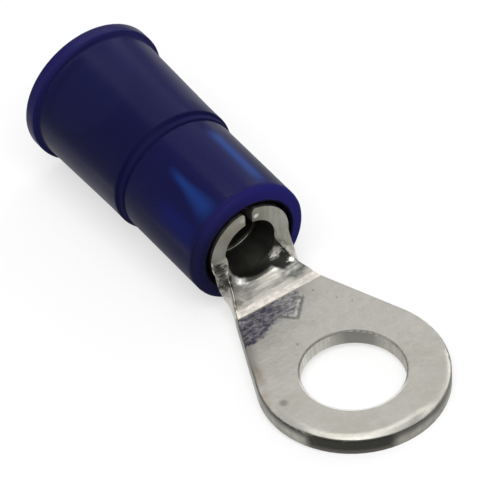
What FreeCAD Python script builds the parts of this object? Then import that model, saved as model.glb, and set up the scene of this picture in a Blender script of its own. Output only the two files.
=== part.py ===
import FreeCAD, Part
import Sketcher
import math
import os
import re

# Ring terminal for one insulated wire, in millimetres. The origin is the centre of the stud hole on the
# tongue's underside, +X runs along the barrel towards the wire, and +Z is the axis of the stud.

doc = FreeCAD.newDocument("ring_terminal")

# Driving dimensions, in millimetres
sizes = {
    # the strip, from the ring to the neck
    "strip_thickness": 0.80,
    "stud_hole_diameter": 5.00,
    "ring_diameter": 9.16,
    "bend_distance": 6.10,
    "neck_width": 4.76,
    "ramp_length": 0.45,
    "ramp_rise": 0.12,
    "neck_flank": 0.275,
    "neck_fillet": 1.00,
    "curl_power": 2.10,
    "curl_margin": 0.17,
    "floor_rise": 0.24,
    "edge_roll": 0.10,
    "edge_break": 0.04,
    "hole_roll": 0.08,
    # the rolled barrel
    "barrel_length": 6.20,
    "barrel_bore": 2.84,
    "seam_gap": 0.40,
    "seam_round": 0.22,
    "entry_chamfer": 0.20,
    "serration_start": 1.30,
    "serration_pitch": 1.40,
    "serration_width": 0.40,
    "serration_depth": 0.16,
    # the sleeve's front part, over the barrel
    "sleeve_setback": 0.05,
    "grip_clearance": 0.02,
    "front_wall": 0.92,
    "lead_in_depth": 0.80,
    "lead_in_gap": 0.23,
    "front_round": 0.30,
    # the shoulder, a small land and then the larger rear part
    "shoulder_setback": 0.32,
    "land_chamfer": 0.04,
    "land_length": 0.26,
    "land_depth": 0.13,
    "shoulder_length": 0.13,
    "shoulder_round": 0.10,
    # the sleeve's rear part, over the wire's insulation
    "waist_length": 1.60,
    "grip_length": 6.56,
    "flare_growth": 0.13,
    "wire_entry_bore": 5.00,
    "rear_wall": 0.85,
    "funnel_length": 1.70,
    "flange_thickness": 0.85,
    "flange_height": 0.25,
    "flange_round": 0.13,
    "foot_round": 0.10,
    "mouth_flare": 0.55,
    "mouth_depth": 0.70,
    "mouth_round": 0.15,
}

sheet = doc.addObject("Spreadsheet::Sheet", "Sizes")
for row, (alias, value) in enumerate(sizes.items(), start=1):
    sheet.set(f"A{row}", alias)
    sheet.set(f"B{row}", str(value))
    sheet.setAlias(f"B{row}", alias)
doc.recompute()

ORIGIN = (-1, 1)
ACROSS_AXIS_INDEX = -1
UP_AXIS_INDEX = -2
SMALL = 1e-3


def bound(text):
    """Write the sheet's name before each size in a formula."""
    return re.sub(r"[a-z_]+", lambda word: f"Sizes.{word[0]}" if word[0] in sizes else word[0], text)


def value_of(text):
    """Work out a formula of sizes as a plain number."""
    result = sheet.evalExpression(bound(text))
    return float(getattr(result, "Value", result))


def new_body(name):
    body = doc.addObject("PartDesign::Body", name)
    body.Label = name
    body.Placement = FreeCAD.Placement()
    return body


def new_sketch(body, plane, name, forward="0", up="0", outward="0"):
    """Start a sketch on one of the body's own planes, moved by three formulas."""
    sketch = body.newObject("Sketcher::SketchObject", name)
    base = [part for part in body.Origin.OriginFeatures if part.Role == plane][0]
    sketch.AttachmentSupport = [(base, "")]
    sketch.MapMode = "FlatFace"
    sketch.setExpression("AttachmentOffset.Base.x", bound(forward))
    sketch.setExpression("AttachmentOffset.Base.y", bound(up))
    sketch.setExpression("AttachmentOffset.Base.z", bound(outward))
    return sketch


def bind(sketch, kind, where, name, text):
    """Add a constraint whose size is a formula of the sheet."""
    index = sketch.addConstraint(Sketcher.Constraint(kind, *where, value_of(text)))
    sketch.renameConstraint(index, name)
    sketch.setExpression(f"Constraints.{name}", bound(text))


def pin_point(sketch, shape, end, across, up, name):
    """Hold one end of a shape at a place given by two formulas."""
    for kind, axis, text in (("DistanceX", UP_AXIS_INDEX, across), ("DistanceY", ACROSS_AXIS_INDEX, up)):
        if text == "0":
            sketch.addConstraint(Sketcher.Constraint("PointOnObject", shape, end, axis))
        else:
            bind(sketch, kind, (*ORIGIN, shape, end), f"{name}_{kind[-1].lower()}", text)


def draw_corners(sketch, corners):
    """Draw a closed outline of straight sides through corners given by formulas."""
    points = [FreeCAD.Vector(value_of(across), value_of(up), 0) for across, up in corners]
    for point, following in zip(points, points[1:] + points[:1]):
        sketch.addGeometry(Part.LineSegment(point, following), False)
    for index in range(len(points)):
        following = (index + 1) % len(points)
        sketch.addConstraint(Sketcher.Constraint("Coincident", index, 2, following, 1))
    for index, (across, up) in enumerate(corners):
        pin_point(sketch, index, 1, across, up, f"corner{index}")


def flat_circle(centre, radius):
    return Part.Circle(centre, FreeCAD.Vector(0, 0, 1), radius)


def draw_circle(sketch, radius, name):
    """Draw a circle round the sketch's origin with its radius given by a formula."""
    index = sketch.addGeometry(flat_circle(FreeCAD.Vector(), value_of(radius)), False)
    sketch.addConstraint(Sketcher.Constraint("Coincident", index, 3, *ORIGIN))
    bind(sketch, "Radius", (index,), name, radius)


def finish_edges(body, kind, name, size, test):
    """Round or chamfer the edges of the body's last feature whose middle passes a test."""
    doc.recompute()
    base = body.Tip
    names = []
    for number, edge in enumerate(base.Shape.Edges, start=1):
        middle = edge.valueAt((edge.FirstParameter + edge.LastParameter) / 2)
        if test(middle):
            names.append(f"Edge{number}")
    feature = body.newObject(f"PartDesign::{kind}", name)
    feature.Base = (base, names)
    feature.setExpression("Radius" if kind == "Fillet" else "Size", bound(size))
    body.Tip = feature
    doc.recompute()


# Formulas that both pieces use
barrel_radius = "(barrel_bore / 2 + strip_thickness)"
axis_height = f"(floor_rise + {barrel_radius})"

# The tongue's sides touch the ring and close in by the taper's angle. They run on past the bend, over the
# ramp and the neck's flank, to a round corner that turns them into the barrel's front edge.
reach = "sqrt(pow(bend_distance; 2) + pow(neck_width / 2; 2))"
taper = f"(90 deg - atan2(neck_width / 2; bend_distance) - acos(ring_diameter / 2 / {reach}))"
corner_start = "(bend_distance + ramp_length + neck_flank)"
barrel_front = f"({corner_start} + neck_fillet * (1 + sin({taper})))"
barrel_end = f"({barrel_front} + barrel_length)"


def ring_edge(distance, radius):
    """A test for the circular edge at a distance along the barrel's axis and a radius from it."""
    place = value_of(distance)
    span = value_of(radius)
    height = value_of(axis_height)

    def test(middle):
        on_circle = abs(math.hypot(middle.y, middle.z - height) - span) < SMALL
        return on_circle and abs(middle.x - place) < SMALL

    return test


# Terminal body: one strip of tin-plated copper, stamped flat, curled up at the neck and rolled
terminal = new_body("terminal_body")

# The tongue is a ring with two straight sides that touch it and close in to the neck.
tongue_outline = new_sketch(terminal, "XY_Plane", "tongue_outline")
ring_radius = value_of("ring_diameter / 2")
neck_left = FreeCAD.Vector(value_of("bend_distance"), value_of("neck_width / 2"), 0)
neck_right = FreeCAD.Vector(neck_left.x, -neck_left.y, 0)
touch_angle = math.atan2(neck_left.y, neck_left.x) + math.acos(ring_radius / neck_left.Length)
ring_arc = Part.ArcOfCircle(
    flat_circle(FreeCAD.Vector(), ring_radius), touch_angle, 2 * math.pi - touch_angle
)
tongue_outline.addGeometry(ring_arc, False)
tongue_outline.addGeometry(Part.LineSegment(neck_left, ring_arc.StartPoint), False)
tongue_outline.addGeometry(Part.LineSegment(ring_arc.EndPoint, neck_right), False)
tongue_outline.addGeometry(Part.LineSegment(neck_right, neck_left), False)
tongue_outline.addConstraint(Sketcher.Constraint("Coincident", 0, 3, *ORIGIN))
tongue_outline.addConstraint(Sketcher.Constraint("Tangent", 1, 2, 0, 1))
tongue_outline.addConstraint(Sketcher.Constraint("Tangent", 0, 2, 2, 1))
tongue_outline.addConstraint(Sketcher.Constraint("Coincident", 2, 2, 3, 1))
tongue_outline.addConstraint(Sketcher.Constraint("Coincident", 3, 2, 1, 1))
tongue_outline.addConstraint(Sketcher.Constraint("Symmetric", 3, 1, 3, 2, ACROSS_AXIS_INDEX))
bind(tongue_outline, "Radius", (0,), "ring", "ring_diameter / 2")
pin_point(tongue_outline, 1, 1, "bend_distance", "neck_width / 2", "neck")

tongue = terminal.newObject("PartDesign::Pad", "tongue")
tongue.Profile = tongue_outline
tongue.setExpression("Length", bound("strip_thickness"))

# The punch rolls over the tongue's upper outline.
strip_top = value_of("strip_thickness")
bend_line = value_of("bend_distance")


def on_tongue_top(middle):
    return abs(middle.z - strip_top) < SMALL and middle.x < bend_line - SMALL


finish_edges(terminal, "Fillet", "edge_rolled", "edge_roll", on_tongue_top)

# The neck's sections bend the flat pattern's width into an ever tighter arc.
neck_length = f"({barrel_front} - bend_distance)"
corner_width = f"(neck_width / 2 - {neck_length} * tan({taper}))"
turn_centre = f"({corner_width} + neck_fillet * tan((90 deg + {taper}) / 2))"
middle_radius = "(barrel_bore / 2 + strip_thickness / 2)"


def neck_section(name, along, half_width):
    """Draw the neck's section: an arc of the strip's thickness whose upper corners are rolled over."""
    travel = f"(({along} - bend_distance) / {neck_length})"
    curl_share = f"min(1; ({along} - bend_distance) / ({neck_length} - curl_margin))"
    curl_radius = f"({middle_radius} / pow({curl_share}; curl_power))"
    curl_angle = f"({half_width} / {curl_radius} * 180 deg / pi)"
    outer_radius = f"({curl_radius} + strip_thickness / 2)"
    inner_radius = f"({curl_radius} - strip_thickness / 2)"
    ramp_share = f"min(1; ({along} - bend_distance) / ramp_length)"
    rise = f"(ramp_rise * sin(90 deg * {ramp_share}) + (floor_rise - ramp_rise) * sin(90 deg * {travel}))"
    centre_height = f"({rise} + {outer_radius})"
    end_reach = f"({outer_radius} * sin({curl_angle}))"
    corner_roll = f"(edge_roll + (edge_break - edge_roll) * {travel})"

    centre = FreeCAD.Vector(0, value_of(centre_height), 0)
    outer = value_of(outer_radius)
    inner = value_of(inner_radius)
    roll = value_of(corner_roll)
    right = math.radians(value_of(curl_angle)) - math.pi / 2
    left = -math.pi - right
    lean = math.asin(roll / (inner + roll))

    def from_centre(distance, angle):
        return centre + FreeCAD.Vector(distance * math.cos(angle), distance * math.sin(angle), 0)

    def corner(angle, start, end):
        return Part.ArcOfCircle(flat_circle(from_centre(inner + roll, angle), roll), start, end)

    outside = Part.ArcOfCircle(flat_circle(centre, outer), left, right)
    inside = Part.ArcOfCircle(flat_circle(centre, inner), left + lean, right - lean)
    right_corner = corner(right - lean, right + math.pi / 2, right - lean + math.pi)
    left_corner = corner(left + lean, left + lean + math.pi, left + 1.5 * math.pi)
    right_side = Part.LineSegment(outside.EndPoint, right_corner.StartPoint)
    left_side = Part.LineSegment(left_corner.EndPoint, outside.StartPoint)

    section = new_sketch(terminal, "YZ_Plane", name, outward=along)
    for piece in (outside, right_side, right_corner, inside, left_corner, left_side):
        section.addGeometry(piece, False)
    section.addConstraint(Sketcher.Constraint("Coincident", 0, 2, 1, 1))
    section.addConstraint(Sketcher.Constraint("Tangent", 1, 2, 2, 1))
    section.addConstraint(Sketcher.Constraint("Tangent", 2, 2, 3, 2))
    section.addConstraint(Sketcher.Constraint("Tangent", 3, 1, 4, 1))
    section.addConstraint(Sketcher.Constraint("Tangent", 4, 2, 5, 1))
    section.addConstraint(Sketcher.Constraint("Coincident", 5, 2, 0, 1))
    section.addConstraint(Sketcher.Constraint("PointOnObject", 0, 3, UP_AXIS_INDEX))
    section.addConstraint(Sketcher.Constraint("Coincident", 0, 3, 3, 3))
    section.addConstraint(Sketcher.Constraint("Horizontal", 0, 1, 0, 2))
    section.addConstraint(Sketcher.Constraint("PointOnObject", 0, 3, 1))
    section.addConstraint(Sketcher.Constraint("PointOnObject", 0, 3, 5))
    section.addConstraint(Sketcher.Constraint("Equal", 2, 4))
    bind(section, "Radius", (0,), "outer", outer_radius)
    bind(section, "Radius", (3,), "inner", inner_radius)
    bind(section, "Radius", (2,), "corner", corner_roll)
    bind(section, "DistanceY", (*ORIGIN, 0, 3), "height", centre_height)
    bind(section, "DistanceX", (*ORIGIN, 0, 2), "reach", end_reach)
    return section


# A short ramp at the bend lifts the strip, with a crease at its foot and at its top.
ramp_end = "(bend_distance + ramp_length)"
ramp_top = neck_section("ramp_top", ramp_end, f"(neck_width / 2 - ramp_length * tan({taper}))")
tongue_end = [
    f"Face{number}"
    for number, face in enumerate(terminal.Tip.Shape.Faces, start=1)
    if abs(face.BoundBox.XMin - bend_line) < SMALL
]
ramp = terminal.newObject("PartDesign::AdditiveLoft", "ramp")
ramp.Profile = (terminal.getObject("edge_rolled"), tongue_end)
ramp.Sections = [ramp_top]
ramp.Ruled = True

# Then the neck curls up to the barrel's front edge.
LAST_STATION = 5
STATION_SPREAD = 1.5


def neck_station(number):
    turn = f"({(number / LAST_STATION) ** STATION_SPREAD} * (90 deg + {taper}) - {taper})"
    along = f"({barrel_front} - neck_fillet + neck_fillet * sin({turn}))"
    return neck_section(f"neck_station_{number}", along, f"({turn_centre} - neck_fillet * cos({turn}))")


neck = terminal.newObject("PartDesign::AdditiveLoft", "neck")
neck.Profile = ramp_top
neck.Sections = [neck_station(number) for number in range(LAST_STATION + 1)]

# The barrel is the strip rolled round the wire, open along its top by a narrow seam with rounded lips.
barrel_section = new_sketch(
    terminal, "YZ_Plane", "barrel_section", up=axis_height, outward=barrel_front
)
outside_radius = value_of(barrel_radius)
inside_radius = value_of("barrel_bore / 2")
lip_radius = value_of("seam_round")
lip_across = value_of("seam_gap / 2 + seam_round")
lip_up = math.sqrt((outside_radius - lip_radius) ** 2 - lip_across**2)
lip_turn = math.atan2(lip_up, lip_across)
seam_turn = math.acos(value_of("seam_gap / 2") / inside_radius)
outside = Part.ArcOfCircle(
    flat_circle(FreeCAD.Vector(), outside_radius), math.pi - lip_turn, 2 * math.pi + lip_turn
)
right_lip = Part.ArcOfCircle(
    flat_circle(FreeCAD.Vector(lip_across, lip_up, 0), lip_radius), lip_turn, math.pi
)
left_lip = Part.ArcOfCircle(
    flat_circle(FreeCAD.Vector(-lip_across, lip_up, 0), lip_radius), 0, math.pi - lip_turn
)
inside = Part.ArcOfCircle(
    flat_circle(FreeCAD.Vector(), inside_radius), math.pi - seam_turn, 2 * math.pi + seam_turn
)
right_seam = Part.LineSegment(right_lip.EndPoint, inside.EndPoint)
left_seam = Part.LineSegment(inside.StartPoint, left_lip.StartPoint)
for piece in (outside, right_lip, right_seam, inside, left_seam, left_lip):
    barrel_section.addGeometry(piece, False)
barrel_section.addConstraint(Sketcher.Constraint("Tangent", 0, 2, 1, 1))
barrel_section.addConstraint(Sketcher.Constraint("Tangent", 1, 2, 2, 1))
barrel_section.addConstraint(Sketcher.Constraint("Coincident", 2, 2, 3, 2))
barrel_section.addConstraint(Sketcher.Constraint("Coincident", 3, 1, 4, 1))
barrel_section.addConstraint(Sketcher.Constraint("Tangent", 4, 2, 5, 1))
barrel_section.addConstraint(Sketcher.Constraint("Tangent", 5, 2, 0, 1))
barrel_section.addConstraint(Sketcher.Constraint("Coincident", 0, 3, *ORIGIN))
barrel_section.addConstraint(Sketcher.Constraint("Coincident", 3, 3, *ORIGIN))
barrel_section.addConstraint(Sketcher.Constraint("Vertical", 2))
barrel_section.addConstraint(Sketcher.Constraint("Symmetric", 3, 1, 3, 2, UP_AXIS_INDEX))
barrel_section.addConstraint(Sketcher.Constraint("Symmetric", 1, 3, 5, 3, UP_AXIS_INDEX))
bind(barrel_section, "Radius", (0,), "outside", barrel_radius)
bind(barrel_section, "Radius", (3,), "inside", "barrel_bore / 2")
bind(barrel_section, "Radius", (1,), "lip", "seam_round")
bind(barrel_section, "DistanceX", (*ORIGIN, 3, 2), "half_gap", "seam_gap / 2")
barrel = terminal.newObject("PartDesign::Pad", "barrel")
barrel.Profile = barrel_section
barrel.setExpression("Length", bound("barrel_length"))
doc.recompute()

# Rolled grooves inside the barrel bite into the wire.
serration_section = new_sketch(
    terminal, "XZ_Plane", "serration_section", forward=barrel_front, up=axis_height
)
draw_corners(
    serration_section,
    [
        ("serration_start", "barrel_bore / 4"),
        ("serration_start + serration_width", "barrel_bore / 4"),
        ("serration_start + serration_width", "barrel_bore / 2 + serration_depth"),
        ("serration_start", "barrel_bore / 2 + serration_depth"),
    ],
)
serration = terminal.newObject("PartDesign::Groove", "serration")
serration.Profile = serration_section
serration.ReferenceAxis = (serration_section, ["H_Axis"])
serration.Angle = 360
doc.recompute()

SERRATIONS = 3
serrations = terminal.newObject("PartDesign::LinearPattern", "serrations")
serrations.Originals = [serration]
serrations.Direction = (serration_section, ["H_Axis"])
serrations.Occurrences = SERRATIONS
serrations.setExpression("Length", bound(f"serration_pitch * {SERRATIONS - 1}"))
terminal.Tip = serrations
doc.recompute()

# The stud hole is punched through the ring.
hole_outline = new_sketch(terminal, "XY_Plane", "hole_outline")
draw_circle(hole_outline, "stud_hole_diameter / 2", "hole")
stud_hole = terminal.newObject("PartDesign::Pocket", "stud_hole")
stud_hole.Profile = hole_outline
stud_hole.setExpression("Length", bound("strip_thickness"))
stud_hole.Reversed = True
doc.recompute()

# Its upper edge is rolled over a little.
hole_radius = value_of("stud_hole_diameter / 2")


def on_stud_hole(middle):
    return on_tongue_top(middle) and math.hypot(middle.x, middle.y) < hole_radius + SMALL


finish_edges(terminal, "Fillet", "hole_rolled", "hole_roll", on_stud_hole)

# The wire enters the barrel over a small chamfer.
finish_edges(terminal, "Chamfer", "entry", "entry_chamfer", ring_edge(barrel_end, "barrel_bore / 2"))

# Insulating sleeve: one nylon moulding, turned round the barrel's axis
sleeve = new_body("insulating_sleeve")
front = f"({barrel_front} + sleeve_setback)"
grip_radius = f"({barrel_radius} + grip_clearance)"
front_radius = f"({grip_radius} + front_wall)"
shoulder = f"({barrel_end} - shoulder_setback)"
rear_radius = "(wire_entry_bore / 2 + rear_wall)"
land_radius = f"({rear_radius} - land_depth)"
land_end = f"({shoulder} + land_chamfer + land_length)"
rear_start = f"({land_end} + shoulder_length)"
flange_start = f"({barrel_end} + grip_length)"
flare_radius = f"({rear_radius} + flare_growth)"
flange_radius = f"({flare_radius} + flange_height)"
flange_face = f"({flange_start} + flange_height / 4)"
rear_end = f"({flange_start} + flange_thickness)"
mouth_radius = "(wire_entry_bore / 2 + mouth_flare)"
funnel_radius = "(barrel_bore / 2 + entry_chamfer)"

sleeve_profile = new_sketch(sleeve, "XZ_Plane", "sleeve_profile", up=axis_height)
draw_corners(
    sleeve_profile,
    [
        # outside, from the front edge back to the flange
        (front, front_radius),
        (shoulder, front_radius),
        (f"{shoulder} + land_chamfer", land_radius),
        (land_end, land_radius),
        (rear_start, rear_radius),
        (f"{shoulder} + waist_length", rear_radius),
        (flange_start, flare_radius),
        (flange_face, flange_radius),
        (rear_end, flange_radius),
        # inside, from the wire's mouth forward to the barrel's lead-in
        (rear_end, mouth_radius),
        (f"{rear_end} - mouth_depth", "wire_entry_bore / 2"),
        (f"{barrel_end} + funnel_length", "wire_entry_bore / 2"),
        (barrel_end, funnel_radius),
        (barrel_end, grip_radius),
        (f"{front} + lead_in_depth", grip_radius),
        (front, f"{barrel_radius} + lead_in_gap"),
    ],
)
moulding = sleeve.newObject("PartDesign::Revolution", "moulding")
moulding.Profile = sleeve_profile
moulding.ReferenceAxis = (sleeve_profile, ["H_Axis"])
moulding.Angle = 360

flange_edges = [ring_edge(flange_face, flange_radius), ring_edge(rear_end, flange_radius)]
finish_edges(sleeve, "Fillet", "front_rounded", "front_round", ring_edge(front, front_radius))
finish_edges(sleeve, "Fillet", "shoulder_rounded", "shoulder_round", ring_edge(rear_start, rear_radius))
finish_edges(sleeve, "Fillet", "foot_rounded", "foot_round", ring_edge(flange_start, flare_radius))
finish_edges(
    sleeve,
    "Fillet",
    "flange_rounded",
    "flange_round",
    lambda middle: any(test(middle) for test in flange_edges),
)
finish_edges(sleeve, "Fillet", "mouth_rounded", "mouth_round", ring_edge(rear_end, mouth_radius))

# Nothing is written unless every feature was made, the cuts took material, and both solids are sound.
doc.recompute()
for item in doc.Objects:
    if "Invalid" in item.State or "Error" in item.State:
        raise RuntimeError(f"{item.Name} was not made: {item.State}")
cuts = [(barrel, serration), (serration, serrations), (serrations, stud_hole)]
for before, cut in cuts:
    if cut.Shape.Volume >= before.Shape.Volume:
        raise RuntimeError(f"{cut.Name} cut nothing")

os.makedirs("parts", exist_ok=True)
for body in (terminal, sleeve):
    shape = body.Shape
    if shape.isNull() or not shape.isValid() or len(shape.Solids) != 1:
        raise RuntimeError(f"{body.Label} is not one sound solid")
    shape.exportStep(f"parts/{body.Label}.step")
    print(f"{body.Label}: {shape.Volume:.2f} cubic millimetres")
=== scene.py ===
from math import atan, cos, pi, radians, sin

import bmesh
import bpy
from mathutils import Matrix, Quaternion, Vector


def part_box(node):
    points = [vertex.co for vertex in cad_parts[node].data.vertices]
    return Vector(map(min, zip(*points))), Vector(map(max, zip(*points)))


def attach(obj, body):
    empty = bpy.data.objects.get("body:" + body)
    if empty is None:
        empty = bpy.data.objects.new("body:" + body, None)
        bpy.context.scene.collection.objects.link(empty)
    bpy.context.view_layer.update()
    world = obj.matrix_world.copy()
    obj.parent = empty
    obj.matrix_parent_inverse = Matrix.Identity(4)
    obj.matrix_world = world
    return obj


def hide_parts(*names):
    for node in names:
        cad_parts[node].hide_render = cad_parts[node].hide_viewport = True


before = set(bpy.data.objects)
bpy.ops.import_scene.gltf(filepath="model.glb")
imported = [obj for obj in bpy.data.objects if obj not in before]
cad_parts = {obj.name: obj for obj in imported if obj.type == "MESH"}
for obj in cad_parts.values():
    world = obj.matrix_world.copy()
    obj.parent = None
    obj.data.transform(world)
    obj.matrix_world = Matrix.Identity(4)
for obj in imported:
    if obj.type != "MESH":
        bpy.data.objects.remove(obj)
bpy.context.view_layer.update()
MM = 0.001
METRE_IN_MM = 1000.0
scene = bpy.context.scene
scene.view_settings.view_transform = "Standard"

# Camera
# A long lens looks down past the ring's left front at the part, at the
# photograph's height, turn and slight roll.
camera_place = Vector((-145.797, 99.008, 185.844)) * MM
camera_aim = Vector((9.163, -0.058, 2.0)) * MM
camera_roll = radians(-3.459)
camera = bpy.data.objects.new("camera", bpy.data.cameras.new("camera"))
camera.data.sensor_width = 36
camera.data.lens = 412.5
camera.data.clip_start = 0.01
camera.data.clip_end = 10
camera.location = camera_place
camera.rotation_mode = "QUATERNION"
facing = (camera_aim - camera_place).to_track_quat("-Z", "Y")
camera.rotation_quaternion = facing @ Quaternion((0, 0, 1), camera_roll)
scene.collection.objects.link(camera)
scene.camera = camera


# Table
# A painted white table top. The part lies on it, on the ring's front end and
# the sleeve's flange, so the top is tilted a little under the part.
class Value:
    """A node's output that can stand in a sum: each operator adds its Math node."""

    def __init__(self, finish, socket):
        self.finish = finish
        self.socket = socket

    def math(self, operation, *terms):
        return self.finish.node("ShaderNodeMath", {"operation": operation}, dict(enumerate((self, *terms))))

    def __add__(self, other):
        return self.math("ADD", other)

    def __sub__(self, other):
        return self.math("SUBTRACT", other)

    def __rsub__(self, other):
        return self.finish.node("ShaderNodeMath", {"operation": "SUBTRACT"}, {0: other, 1: self})

    def __mul__(self, other):
        return self.math("MULTIPLY", other)

    def __truediv__(self, other):
        return self.math("DIVIDE", other)

    __radd__ = __add__
    __rmul__ = __mul__

    def high(self, low, top, to_low=0.0, to_top=1.0):
        """Goes smoothly from to_low to to_top while this value goes from low to top."""
        return self.finish.node(
            "ShaderNodeMapRange",
            {"interpolation_type": "SMOOTHSTEP"},
            {0: self, 1: low, 2: top, 3: to_low, 4: to_top},
        )

    def until(self, full, none):
        """1 up to full, falling smoothly to 0 at none."""
        return self.high(full, none, 1.0, 0.0)

    def within(self, start, full, fading, end):
        """1 from full to fading, falling smoothly to 0 at start and at end."""
        return self.high(start, full) * self.until(fading, end)

    def near(self, middle, full, none):
        """1 within a distance full of middle, falling smoothly to 0 at a distance none."""
        return (self - middle).math("ABSOLUTE").until(full, none)

    def climb(self, start, width):
        """0 up to start, then as much as this value is past it, but no more than width."""
        return (self - start).larger(0.0).smaller(width)

    def larger(self, other):
        return self.math("MAXIMUM", other)

    def smaller(self, other):
        return self.math("MINIMUM", other)


class Finish:
    """A material and its nodes, which node() adds one at a time."""

    def __init__(self, name):
        self.material = bpy.data.materials.new(name)
        self.material.use_nodes = True
        self.tree = self.material.node_tree
        self.tree.nodes.clear()

    def node(self, kind, settings=None, inputs=None, output=0):
        made = self.tree.nodes.new(kind)
        for key, setting in (settings or {}).items():
            setattr(made, key, setting)
        for key, term in (inputs or {}).items():
            if isinstance(term, Value):
                self.tree.links.new(term.socket, made.inputs[key])
            else:
                made.inputs[key].default_value = term
        return Value(self, made.outputs[output])

    def place(self):
        """The point of the surface, in metres, in the object's own frame."""
        return self.node("ShaderNodeTexCoord", output="Object")

    def axes(self, point):
        """A point's three numbers, in millimetres."""
        apart = self.node("ShaderNodeSeparateXYZ", {}, {0: point})
        node = apart.socket.node
        return [Value(self, socket) * METRE_IN_MM for socket in node.outputs]

    def noise(self, point, scale, detail=2.0, rough=0.5, stretch=(1, 1, 1)):
        """Cloudy noise about 0.5; scale is patches for each millimetre."""
        spread = self.node(
            "ShaderNodeVectorMath",
            {"operation": "MULTIPLY"},
            {0: point, 1: [METRE_IN_MM * scale * part for part in stretch]},
        )
        return self.node(
            "ShaderNodeTexNoise", {}, {"Vector": spread, "Scale": 1.0, "Detail": detail, "Roughness": rough}
        )

    def patch(self, point, centre, full, none, ragged=0.0):
        """1 within a distance full of a centre, down to 0 at a distance none, in millimetres.

        ragged is added to the distance, such as a noise for an uneven outline.
        """
        apart = self.node(
            "ShaderNodeVectorMath",
            {"operation": "DISTANCE"},
            {0: point, 1: [part * MM for part in centre]},
            output=1,
        )
        return (apart * METRE_IN_MM + ragged).until(full, none)

    def blend(self, share, first, second):
        """The first colour where share is 0, the second where it is 1."""
        return self.node(
            "ShaderNodeMix",
            {"data_type": "RGBA"},
            {0: share, 6: first, 7: second},
            output=2,
        )

    def bump(self, height, strength):
        """A normal for relief whose height is in millimetres."""
        return self.node("ShaderNodeBump", {}, {"Strength": strength, "Distance": MM, "Height": height})

    def close(self, surface, volume=None):
        ends = {"Surface": surface}
        if volume:
            ends["Volume"] = volume
        out = self.tree.nodes.new("ShaderNodeOutputMaterial")
        for key, term in ends.items():
            self.tree.links.new(term.socket, out.inputs[key])
        return self.material


def colour(red, green, blue):
    return (red, green, blue, 1.0)


def show(mesh, name, finish):
    """Makes a mesh from a bmesh, gives it its finish and puts it in the scene."""
    data = bpy.data.meshes.new(name)
    mesh.to_mesh(data)
    mesh.free()
    data.materials.append(finish)
    piece = bpy.data.objects.new(name, data)
    scene.collection.objects.link(piece)
    return piece


# The top ends just outside the picture, and past its edge the sleeve mirrors
# the dimmer tent.
ring_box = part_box("terminal_body")
sleeve_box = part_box("insulating_sleeve")
half_flange = 0.4 * MM
rest_front = Vector((ring_box[0].x, 0, 0))
rest_rear = Vector((sleeve_box[1].x - half_flange, 0, sleeve_box[0].z))
slope = rest_rear - rest_front
table_half = 1.2
table_edge = 0.0206
table_turn = radians(54.9)
top = bmesh.new()
bmesh.ops.create_grid(top, x_segments=1, y_segments=1, size=table_half)
bmesh.ops.translate(top, verts=top.verts, vec=(table_edge - table_half, 0, 0))
bmesh.ops.rotate(top, verts=top.verts, matrix=Matrix.Rotation(table_turn, 3, "Z"))
bmesh.ops.rotate(top, verts=top.verts, matrix=Matrix.Rotation(-atan(slope.z / slope.x), 3, "Y"))
bmesh.ops.translate(top, verts=top.verts, vec=rest_front)

# The paint is seen whiter than it is lit, which leaves the part a faint shadow.
white_paint = colour(0.91, 0.91, 0.91)
seen_whiter = 0.6
white_top = Finish("white_table")
painted = white_top.node("ShaderNodeBsdfDiffuse", {}, {"Color": white_paint})
seen = white_top.node("ShaderNodeLightPath", output="Is Camera Ray")
seen = seen.larger(white_top.node("ShaderNodeLightPath", output="Is Glossy Ray"))
seen = seen.larger(white_top.node("ShaderNodeLightPath", output="Is Transmission Ray"))
glow = white_top.node("ShaderNodeEmission", {}, {"Color": colour(1, 1, 1), "Strength": 1.0})
painted = white_top.node("ShaderNodeMixShader", {}, {0: seen * seen_whiter, 1: painted, 2: glow})
table = show(top, "table", white_top.close(painted))

# Light
# A dim tent of white cloth stands round the part, open at the foot. Over it
# hang a narrow lamp and a strong wide one, with a weak one beyond and one at the right.
world = bpy.data.worlds.new("studio")
scene.world = world
world.use_nodes = True
world.node_tree.nodes["Background"].inputs["Color"].default_value = colour(1, 1, 1)
world.node_tree.nodes["Background"].inputs["Strength"].default_value = 1.0

tent_radius = 0.9
tent_foot = -0.5
tent_glow = 0.30
dome = bmesh.new()
bmesh.ops.create_uvsphere(dome, u_segments=48, v_segments=24, radius=tent_radius)
bmesh.ops.bisect_plane(
    dome,
    geom=dome.verts[:] + dome.edges[:] + dome.faces[:],
    plane_co=(0, 0, tent_foot),
    plane_no=(0, 0, 1),
    clear_inner=True,
)
bmesh.ops.reverse_faces(dome, faces=dome.faces)
tent_cloth = Finish("tent_cloth")
glow = tent_cloth.node("ShaderNodeEmission", {}, {"Color": colour(1, 1, 1), "Strength": tent_glow})
tent = show(dome, "tent", tent_cloth.close(glow))
tent.visible_camera = False


def lamp(name, towards, along, width, length, radiance, distance=0.6):
    """A soft rectangular lamp that faces the part; a radiance of 1 is as bright as white paper."""
    outward = Vector(towards).normalized()
    long_side = Vector(along)
    long_side = (long_side - long_side.dot(outward) * outward).normalized()
    turn = Matrix((long_side.cross(outward), long_side, outward)).transposed()
    data = bpy.data.lights.new(name, "AREA")
    data.shape = "RECTANGLE"
    data.size = width
    data.size_y = length
    data.energy = radiance * pi * width * length
    lit = bpy.data.objects.new(name, data)
    lit.location = outward * distance
    lit.rotation_mode = "QUATERNION"
    lit.rotation_quaternion = turn.to_quaternion()
    lit.visible_camera = False
    scene.collection.objects.link(lit)


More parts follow.
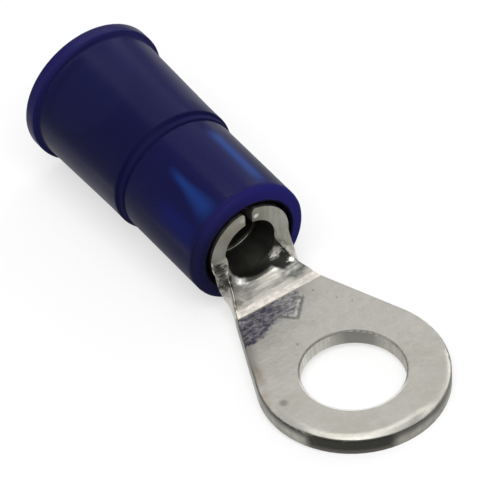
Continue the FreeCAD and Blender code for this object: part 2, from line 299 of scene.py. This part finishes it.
lamp("lamp_overhead", (0.24, -0.20, 0.95), (-0.17, -0.35, 0.0), width=0.16, length=0.34, radiance=1.9)
lamp(
    "lamp_far", (0.60, -0.42, 0.68), (1.0, 0.0, 0.0), width=0.70, length=0.50, radiance=0.36, distance=0.7
)
lamp("lamp_near", (-0.35, 0.25, 0.90), (1.0, 0.0, 0.0), width=0.50, length=0.50, radiance=4.35)
lamp("lamp_right", (0.24, -0.80, 0.52), (0.0, 0.0, 1.0), width=0.30, length=0.24, radiance=2.0)

# Terminal body
# One piece of tin-plated copper strip: the ring tongue is stamped out, its
# upper edges are rolled over, and the neck is curled up into the wire barrel.
# Lengths are in millimetres.
ring_radius = 4.58
strip_top = 0.80
neck_taper = radians(23.07)
bend_along = 6.10
before_mouth = 7.85
axis_height = 2.46
crisp_corner = radians(28)


def distance(first, second):
    """How far a point is from where both of its values are 0."""
    return (first * first + second * second).math("SQRT")


strip = bmesh.new()
strip.from_mesh(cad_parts["terminal_body"].data)
bmesh.ops.remove_doubles(strip, verts=strip.verts, dist=0.0005 * MM)
bmesh.ops.dissolve_limit(strip, angle_limit=radians(0.3), verts=strip.verts, edges=strip.edges)
sheared = strip.faces.layers.float.new("sheared")
hollow = strip.faces.layers.float.new("hollow")
end_face = strip.faces.layers.float.new("end_face")
for face in strip.faces:
    face.smooth = True
    middle = face.calc_center_median() / MM
    to_axis = Vector((0, -middle.y, axis_height - middle.z)).normalized()
    face[sheared] = float(abs(face.normal.z) < 0.3 and middle.x < bend_along)
    face[hollow] = float(face.normal.dot(to_axis) > 0.5 and middle.x > bend_along)
    face[end_face] = float(face.normal.x < -0.75 and middle.x > before_mouth)
for edge in strip.edges:
    at_bend = all(abs(corner.co.x - bend_along * MM) < 0.01 * MM for corner in edge.verts)
    edge.smooth = edge.calc_face_angle(0) < crisp_corner and not at_bend

tin = Finish("tinned_copper")
point = tin.place()
along, across, up = tin.axes(point)
side = across.math("ABSOLUTE")
on_cut = tin.node("ShaderNodeAttribute", {"attribute_name": "sheared"}, output="Fac")
inside = tin.node("ShaderNodeAttribute", {"attribute_name": "hollow"}, output="Fac")
on_end = tin.node("ShaderNodeAttribute", {"attribute_name": "end_face"}, output="Fac")
on_top = up.high(0.70, 0.78)

# The tin is cloudy, with fine grain, scuffs and lines drawn across the strip.
# The sheared edge has upright lines.
clouds = tin.noise(point, 0.7, 3.0, 0.6)
spots = tin.noise(point, 3.0, 3.0, 0.65)
grain = tin.noise(point, 9.0, 2.0, 0.6)
scuffs = tin.noise(point, 4.0, 4.0, 0.75, (1.6, 0.7, 1.0))
drawn = tin.noise(point, 5.0, 2.0, 0.6, (1.0, 0.12, 0.6))
upright = tin.noise(point, 6.0, 2.0, 0.6, (1.0, 1.0, 0.08))
wavy = spots - 0.5
ragged = scuffs - 0.5
plating = tin.blend(clouds.high(0.35, 0.65), colour(0.60, 0.58, 0.52), colour(0.65, 0.635, 0.58))
plating = tin.blend(spots.high(0.60, 0.72) * 0.3, plating, colour(0.46, 0.45, 0.41))
plating = tin.blend(scuffs.high(0.50, 0.62) * 0.3, plating, colour(0.55, 0.54, 0.46))
plating = tin.blend(grain.high(0.45, 0.70) * 0.25, plating, colour(0.50, 0.485, 0.43))

# The tongue's outline is the ring's circle and two lines that touch it. Inward
# is the distance in from it, and frontward grows towards the ring's left front.
from_centre = distance(along, across)
beyond_line = along * sin(neck_taper) + side * cos(neck_taper)
past_touch = (along * cos(neck_taper) - side * sin(neck_taper)).math("GREATER_THAN", 0.0)
reach = from_centre + (beyond_line - from_centre) * past_touch
inward = ring_radius - reach
frontward = along * -0.793 + across * 0.609

# The stamping rolls the upper edge over, least at the ring's left, and not at its
# far right or past the bend. The roll starts a little way in and reaches its slope over
# a short width. At the front the roll carries painted shade, darkest near the edge.
roll_width = 0.38
roll_slope = 0.36
roll_reach = across.high(-0.4, 3.8, 0.74, 0.58) - across.high(-2.1, -0.6, 0.36, 0.0)
past_start = (roll_reach - inward).larger(0.0)
turning = past_start.smaller(roll_width)
roll_share = across.high(3.6, 4.3, 1.0, 0.12) * (1.0 - across.until(-2.5, -1.5) * along.high(-2.0, -0.9))
roll_share = roll_share * along.until(bend_along - 0.9, bend_along - 0.2)
roll_over = (past_start - turning * 0.5) * turning * (roll_slope / roll_width) * roll_share
roll_painted_shade = inward.high(0.02, 0.22, 0.7, 0.0) * frontward.high(3.0, 4.2) + inward.high(0.25, 0.55, 0.2, 0.0)
roll_painted_shade = roll_painted_shade * frontward.high(2.2, 3.4)

# Small dark specks lie on the tongue, and brown spots along its left edge.
# Each has its place along and across the strip, and its size.
dark_specks = (
    (0.23, 3.81, 0.23),
    (5.34, -1.52, 0.07),
    (4.28, -2.14, 0.05),
    (3.66, -2.59, 0.05),
    (2.91, 1.11, 0.07),
)
brown_spots = (
    (2.55, 3.66, 0.34),
    (2.05, 3.86, 0.26),
    (1.07, 4.33, 0.22),
    (0.64, 4.42, 0.20),
)
for spot_along, spot_across, size in dark_specks:
    speck = tin.patch(point, (spot_along, spot_across, strip_top), size * 0.3, size * 1.4)
    plating = tin.blend(speck * 0.6, plating, colour(0.20, 0.19, 0.17))
for spot_along, spot_across, size in brown_spots:
    spot = tin.patch(point, (spot_along, spot_across, strip_top), size * 0.3, size * 1.6, ragged * 0.5)
    plating = tin.blend(spot * 0.35, plating, colour(0.50, 0.37, 0.25))

# The bend is a slight ridge with a mottled band of painted highlight. The ramp behind
# it rises in two soft steps and shows dark drawn lines.
ridge = along.climb(5.91, 0.19) * 0.27 - along.climb(bend_along, 0.18) * 0.11
ridge = ridge + along.climb(6.50, 0.35) * 0.26 + along.climb(6.85, 0.55) * 0.19
crease = (along + wavy * 0.2).within(5.84, 5.94, 6.22, 6.36) * on_top
crease_highlight_paint = tin.blend(spots.high(0.38, 0.62), colour(0.70, 0.645, 0.58), colour(0.56, 0.535, 0.49))
on_ramp = up.high(0.84, 0.95) * along.until(7.9, 8.1)
plating = tin.blend(on_ramp * drawn.high(0.42, 0.62) * 0.6, plating, colour(0.30, 0.29, 0.265))
plating = tin.blend(crease, plating, crease_highlight_paint)

# In front of the bend the tool that pressed the strip left a corner, drawn as two
# lines: painted shade outside and painted highlight inside. Purple tarnish covers the strip from it
# to the bend and out to the left edge.
press_corner = along - (4.36 - across).larger(across * 0.9 + 4.15) + ragged * 0.22
corner_share = across.within(-1.05, -0.85, 0.5, 0.9)
tarnish_line = along - across.high(0.9, 2.4, 4.65, 4.15) + wavy * 0.7
tarnish_line = tarnish_line + (press_corner - tarnish_line) * corner_share
pressed = tarnish_line.high(-0.06, 0.10) * (along + wavy * 0.25).until(5.80, 5.90)
pressed = pressed * (across + wavy * 0.3).high(-1.00, -0.80) * on_top
worn_through = tin.blend(across.high(-0.1, 0.9), colour(0.46, 0.45, 0.45), colour(0.31, 0.30, 0.31))
tarnish = tin.blend(scuffs.high(0.42, 0.60), colour(0.095, 0.085, 0.125), worn_through)
plating = tin.blend(pressed * across.high(-0.1, 1.0, 0.75, 1.0), plating, tarnish)
corner_painted_shade = press_corner.near(0.0, 0.03, 0.14) * corner_share * on_top * along.until(5.4, 5.7)
corner_painted_highlight = press_corner.near(0.23, 0.05, 0.15) * corner_share * on_top
plating = tin.blend(corner_painted_shade * 0.65, plating, colour(0.17, 0.18, 0.15))
plating = tin.blend(corner_painted_highlight * spots.high(0.35, 0.55) * 0.6, plating, colour(0.78, 0.77, 0.74))
plating = tin.blend(roll_painted_shade, plating, colour(0.20, 0.195, 0.18))

# The sheared edge is bare and dull, and painted darker than the plating as painted shade. The shade is
# darkest round the ring's left front, where it also takes in a thin band of the top, and under the top. The
# hole's wall is painted lighter towards its left, with one side in painted shade and a painted dark line
# along its rim, strongest at the far side.
top_shade_reach = frontward.high(2.6, 4.4, 0.0, 0.08)
cut = (inward - top_shade_reach).high(0.015, 0.05, along.until(5.2, 5.9), 0.0)
cut = cut + on_cut * along.high(5.2, 5.9)
hole_wall = from_centre.until(2.56, 2.62)
bare_and_shade = tin.blend(clouds.high(0.35, 0.65), colour(0.27, 0.26, 0.23), colour(0.40, 0.39, 0.35))
hole_wall_painted_light = tin.blend(across.high(-1.0, 1.5), colour(0.49, 0.48, 0.43), colour(0.74, 0.73, 0.66))
bare_and_shade = tin.blend(hole_wall, bare_and_shade, hole_wall_painted_light)
hole_side_shade = tin.patch(point, (1.85, -1.65, 0.45), 0.45, 1.5)
bare_and_shade = tin.blend(hole_side_shade * 0.75, bare_and_shade, colour(0.15, 0.15, 0.14))
bare_and_shade = tin.blend(upright.high(0.35, 0.65) * 0.35, bare_and_shade, colour(0.24, 0.23, 0.20))
shade_under_top = (up + across.high(-3.5, -0.5, 0.18, 0.0)).high(0.35, 0.70) * from_centre.high(2.6, 4.0)
bare_and_shade = tin.blend(shade_under_top * 0.85, bare_and_shade, colour(0.09, 0.09, 0.08))
hole_rim_shade = hole_wall * up.high(0.70, 0.76) * along.high(0.8, 1.8, 0.1, 0.6)
bare_and_shade = tin.blend(hole_rim_shade, bare_and_shade, colour(0.12, 0.12, 0.11))
left_front_shade = (frontward + wavy * 0.15).high(3.95, 4.22)
cut_shade_colour = tin.blend(up.high(0.05, 0.35), colour(0.12, 0.11, 0.10), colour(0.040, 0.040, 0.035))
bare_and_shade = tin.blend(left_front_shade, bare_and_shade, cut_shade_colour)
bare_and_shade = tin.blend(spots.high(0.60, 0.75) * 0.4, bare_and_shade, colour(0.16, 0.15, 0.13))
skin = tin.blend(cut.larger(hole_wall), plating, bare_and_shade)
# A painted highlight lies on the hole's rim at its front side.
rim_painted_highlight = from_centre.until(2.60, 2.64) * up.high(0.71, 0.74) * frontward.high(0.4, 1.4)
skin = tin.blend(rim_painted_highlight, skin, colour(1.0, 1.0, 0.96))

# The barrel's end face is cut across the grain. Its right side is painted darker as painted shade, and its
# left side is paler, with a painted highlight on it.
end_grain_and_shade = tin.blend(upright.high(0.3, 0.7), colour(0.235, 0.235, 0.20), colour(0.31, 0.31, 0.27))
skin = tin.blend(on_end * across.high(-0.3, 0.3, 0.9, 0.2), skin, end_grain_and_shade)
skin = tin.blend(tin.patch(point, (8.22, 1.82, 3.02), 0.15, 0.75) * 0.55, skin, colour(0.80, 0.83, 0.80))

# Painted shade darkens places on the ramp's right, and its left edge. Two spots
# carry painted highlights.
glint_white = colour(1.0, 1.0, 0.98)
ramp_right_shade = tin.patch(point, (6.95, -1.85, 1.10), 0.25, 0.75) * (0.4 + drawn.high(0.40, 0.60, 0.0, 0.6))
skin = tin.blend(ramp_right_shade, skin, colour(0.16, 0.16, 0.15))
ramp_shade_patch = tin.patch(point, (6.92, -1.38, 1.08), 0.40, 0.85) * scuffs.high(0.35, 0.60, 0.95, 0.5)
skin = tin.blend(ramp_shade_patch, skin, colour(0.12, 0.125, 0.12))
ramp_edge_shade = (across + along * 0.46).near(5.11, 0.04, 0.12) * along.within(6.3, 6.4, 7.4, 7.7)
ramp_edge_shade = ramp_edge_shade + tin.patch(point, (6.60, 1.88, 1.02), 0.10, 0.26) * 0.7
skin = tin.blend(ramp_edge_shade * scuffs.high(0.30, 0.60, 0.95, 0.7), skin, colour(0.13, 0.115, 0.10))
skin = tin.blend(tin.patch(point, (7.60, 1.05, 1.25), 0.22, 0.46, ragged * 0.6), skin, glint_white)
skin = tin.blend(tin.patch(point, (7.24, -1.66, 1.30), 0.02, 0.24, ragged * 1.1), skin, glint_white)

# Inside the curl the strip is painted dark as painted shade, up to a ragged line over the
# ramp. The painted shade is thinner in three places at the right.
curl_shade_line = 7.50 + across * across * 0.20 * across.high(0.0, 0.01) - across.high(-1.15, -0.70, 0.45, 0.0)
curl_shade = inside * (along - curl_shade_line + wavy * 0.25).high(-0.12, 0.14)
shade_gaps = (
    ((7.90, -1.08, 1.42), 0.30),
    ((7.88, -1.30, 1.60), 0.30),
    ((7.22, -1.66, 1.30), 0.34),
)
for place, size in shade_gaps:
    curl_shade = curl_shade * (1.0 - tin.patch(point, place, 0.0, size, ragged * 0.9) * 0.75)
curl_shade_colour = tin.blend(along.high(7.8, 8.4), colour(0.022, 0.022, 0.020), colour(0.075, 0.075, 0.065))
skin = tin.blend(curl_shade, skin, curl_shade_colour)

# The first serration's edge inside the barrel carries a painted highlight.
serration_highlight = inside * along.within(9.865, 9.89, 9.91, 9.93) * across.high(-1.25, -0.85)
skin = tin.blend(serration_highlight * spots.high(0.36, 0.56, 0.3, 0.9), skin, colour(0.60, 0.60, 0.56))
edge_step = along.climb(9.87, 0.05) * 0.9

# Under the sleeve the barrel is painted darker, as painted shade.
from_axis = distance(across, up - axis_height)
under_sleeve_shade = from_axis.high(2.05, 2.15) * along.high(8.30, 8.45)
skin = tin.blend(under_sleeve_shade, skin, colour(0.26, 0.25, 0.22))

# The outside of the neck's left flank is painted near black in patches. The two ends of
# the strip at the seam carry painted highlights.
flank = tin.patch(point, (8.08, 1.88, 2.05), 0.15, 0.45, ragged * 1.3)
flank = flank.larger(tin.patch(point, (7.90, 1.86, 1.76), 0.05, 0.32, ragged * 1.3))
flank = flank.larger(tin.patch(point, (7.68, 1.84, 1.48), 0.18, 0.52, ragged * 1.3))
skin = tin.blend(flank * 0.92, skin, colour(0.035, 0.035, 0.032))
seam_glints = tin.patch(point, (8.22, -0.42, 4.12), 0.05, 0.18, ragged * 0.3)
seam_glints = seam_glints + tin.patch(point, (8.22, 0.34, 4.24), 0.08, 0.22) * 0.4
skin = tin.blend(seam_glints, skin, glint_white)

relief = (grain - 0.5) * 0.004 + wavy * 0.008 + (clouds - 0.5) * 0.02 + (drawn - 0.5) * 0.006
relief = relief - roll_over + ridge + edge_step
dullness = spots.high(0.3, 0.7, 0.30, 0.40) + cut * 0.1 + pressed * 0.15
dullness = dullness + hole_wall * 0.2 + curl_shade * 0.25
metal = tin.node(
    "ShaderNodeBsdfPrincipled",
    {},
    {
        "Base Color": skin,
        "Metallic": 1.0,
        "Roughness": dullness,
        "Normal": tin.bump(relief, 1.0),
    },
)
body = show(strip, "body_strip", tin.close(metal))
body.modifiers.new("weighted", "WEIGHTED_NORMAL").keep_sharp = True
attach(body, "root")
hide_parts("terminal_body")

# Insulating sleeve
# A moulded nylon tube, clear dark blue, pushed over the barrel. It steps up
# behind the barrel to take the wire's insulation and ends in a thin flange.
front_end = 8.27
rear_end = 21.826
front_radius = 3.16
land_radius = 3.22
waist_radius = 3.35
flare_radius = 3.48
flange_radius = 3.728
lead_in_radius = 2.45
seat_radius = 2.24
stop_radius = 1.62
wire_radius = 2.50
stop_along = 14.42

# Each corner of the half section has its place along the part, its radius and
# its rounding. They go round the outside from the front, then back inside.
half_section = [
    (front_end, lead_in_radius, 0.05),
    (front_end, front_radius, 0.30),
    (14.10, front_radius, 0.0),
    (14.14, land_radius, 0.04),
    (14.40, land_radius, 0.04),
    (14.53, waist_radius, 0.10),
    (15.70, waist_radius, 0.0),
    (20.98, flare_radius, 0.10),
    (21.04, flange_radius, 0.13),
    (rear_end, flange_radius, 0.13),
    (rear_end, 3.05, 0.15),
    (21.13, wire_radius, 0.10),
    (16.12, wire_radius, 0.10),
    (stop_along, stop_radius, 0.05),
    (stop_along, seat_radius, 0.02),
    (9.07, seat_radius, 0.05),
]
tube = bmesh.new()
corners = [tube.verts.new((place * MM, 0, radius * MM)) for place, radius, _ in half_section]
for index, corner in enumerate(corners):
    tube.edges.new((corner, corners[index - 1]))
for corner, (_, _, rounding) in zip(corners, half_section):
    if rounding:
        bmesh.ops.bevel(
            tube, geom=[corner], offset=rounding * MM, affect="VERTICES", segments=4, profile=0.5, material=-1
        )
bmesh.ops.spin(
    tube,
    geom=tube.verts[:] + tube.edges[:],
    cent=(0, 0, 0),
    axis=(1, 0, 0),
    angle=2 * pi,
    steps=96,
    use_merge=True,
)
bmesh.ops.remove_doubles(tube, verts=tube.verts, dist=0.0005 * MM)
bmesh.ops.recalc_face_normals(tube, faces=tube.faces)
bmesh.ops.translate(tube, verts=tube.verts, vec=(0, 0, axis_height * MM))
for face in tube.faces:
    face.smooth = True
for edge in tube.edges:
    edge.smooth = edge.calc_face_angle(0) < radians(35)

nylon = Finish("blue_nylon")
point = nylon.place()
along, across, up = nylon.axes(point)
from_axis = distance(across, up - axis_height)
mouth = along.until(9.10, 9.40) * from_axis.until(2.48, 2.62)

# The moulding's colour is painted a little deeper on its left side as painted shade, lighter on the
# flange as painted light, and almost black inside the front end as painted shade.
milky_blue_and_shade = nylon.blend(across.high(-2.5, 2.5), colour(0.0025, 0.0018, 0.062), colour(0.0028, 0.0028, 0.040))
milky_blue_and_shade = nylon.blend(along.high(20.9, 21.1), milky_blue_and_shade, colour(0.0095, 0.0075, 0.083))
front_blue_and_shade = nylon.blend(across.high(-1.5, 2.2), colour(0.0020, 0.0018, 0.066), colour(0.0032, 0.0036, 0.050))
milky_blue_and_shade = nylon.blend(along.until(13.8, 14.3), milky_blue_and_shade, front_blue_and_shade)
milky_blue_and_shade = nylon.blend(mouth, milky_blue_and_shade, colour(0.001, 0.001, 0.004))

# Light that comes through the nylon over the barrel is painted in as three blue streaks, painted reflections.
spreading = (11.2 - along).larger(0.0) * 0.20 + 0.30
left_painted_streak = ((across + along * 0.059 - 2.26) / spreading).near(0.0, 0.0, 1.0)
left_painted_streak = left_painted_streak * along.within(8.2, 9.6, 11.2, 12.7) * up.high(2.5, 3.0)
milky_blue_and_shade = nylon.blend(left_painted_streak, milky_blue_and_shade, colour(0.007, 0.030, 0.170))
right_painted_streak = across.near(-1.38, 0.0, 0.50) * along.within(8.4, 9.8, 12.6, 13.6) * up.high(2.5, 3.0)
milky_blue_and_shade = nylon.blend(right_painted_streak, milky_blue_and_shade, colour(0.020, 0.056, 0.235))
low_painted_streak = across.near(2.75, 0.0, 0.50) * along.within(8.4, 9.4, 10.9, 12.4) * up.high(3.0, 3.5)
milky_blue_and_shade = nylon.blend(low_painted_streak, milky_blue_and_shade, colour(0.0025, 0.0060, 0.088))

# The moulding is matt on its corners, at the front lip, the shoulder and the
# flange, and where its flanks are rubbed.
corners_matt = along.within(14.04, 14.10, 14.60, 14.75) + along.within(20.85, 20.95, 21.12, 21.25)
corners_matt = corners_matt + along.until(8.58, 8.90)
left_flank = across.high(0.5, 1.5) * (up - along.high(13.8, 14.6, 0.3, 0.0)).until(2.6, 3.3)
flanks_matt = left_flank * along.high(13.8, 14.6, 0.65, 0.5) + across.high(-2.0, -1.5, 0.5, 0.0)
# The matt colour is painted lighter on the right and darker on the left, with lines of painted shade at the
# shoulder's steps, painted light on the lip's right and painted shade in the mouth.
matt_blue_and_shade = nylon.blend(across.high(-2.0, 0.5), colour(0.018, 0.017, 0.070), colour(0.0090, 0.0090, 0.048))
step_shade_lines = (along.until(14.18, 14.24) + along.high(14.40, 14.46)) * along.until(15.0, 16.0)
matt_blue_and_shade = nylon.blend(step_shade_lines, matt_blue_and_shade, colour(0.0045, 0.0045, 0.032))
matt_blue_and_shade = nylon.blend(along.high(20.96, 21.10), matt_blue_and_shade, colour(0.0095, 0.0085, 0.060))
lip_shade = across.high(-2.4, 1.8) * up.high(3.4, 5.4, 1.0, 0.5)
lip_blue_and_shade = nylon.blend(lip_shade, colour(0.015, 0.013, 0.118), colour(0.0095, 0.0085, 0.036))
matt_blue_and_shade = nylon.blend(along.until(8.62, 9.00), matt_blue_and_shade, lip_blue_and_shade)
matt_blue_and_shade = nylon.blend(mouth, matt_blue_and_shade, colour(0.003, 0.003, 0.009))

# The nylon is dyed through. It is clear on its inner side, and milky on its
# outside, over the wire's end and in the mouth.
clear = nylon.node(
    "ShaderNodeBsdfPrincipled",
    {},
    {
        "Base Color": colour(1.0, 1.0, 1.0),
        "Roughness": 0.10 + corners_matt * 0.35,
        "IOR": 1.5,
        "Specular IOR Level": 0.2,
        "Transmission Weight": 1.0,
    },
)
milky = nylon.node(
    "ShaderNodeBsdfPrincipled",
    {},
    {
        "Base Color": milky_blue_and_shade,
        "Roughness": 0.28 + corners_matt * 0.30,
        "IOR": 1.5,
        "Specular IOR Level": 0.2,
    },
)
matt = nylon.node(
    "ShaderNodeBsdfPrincipled",
    {},
    {
        "Base Color": matt_blue_and_shade,
        "Roughness": 0.6,
        "Specular IOR Level": 0.0,
    },
)
cloudy = from_axis.high(2.5, 2.7, 0.0, 0.88)
cloudy = cloudy.larger(along.high(13.6, 14.6, 0.0, 0.92)).larger(mouth)
surface = nylon.node("ShaderNodeMixShader", {}, {0: cloudy, 1: clear, 2: milky})
matt_share = flanks_matt.larger(corners_matt * 0.85)
surface = nylon.node("ShaderNodeMixShader", {}, {0: matt_share, 1: surface, 2: matt})
dye = nylon.node("ShaderNodeVolumeAbsorption", {}, {"Color": colour(0.09, 0.42, 0.94), "Density": 1300.0})
sleeve = show(tube, "sleeve_tube", nylon.close(surface, dye))
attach(sleeve, "root")
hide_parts("insulating_sleeve")
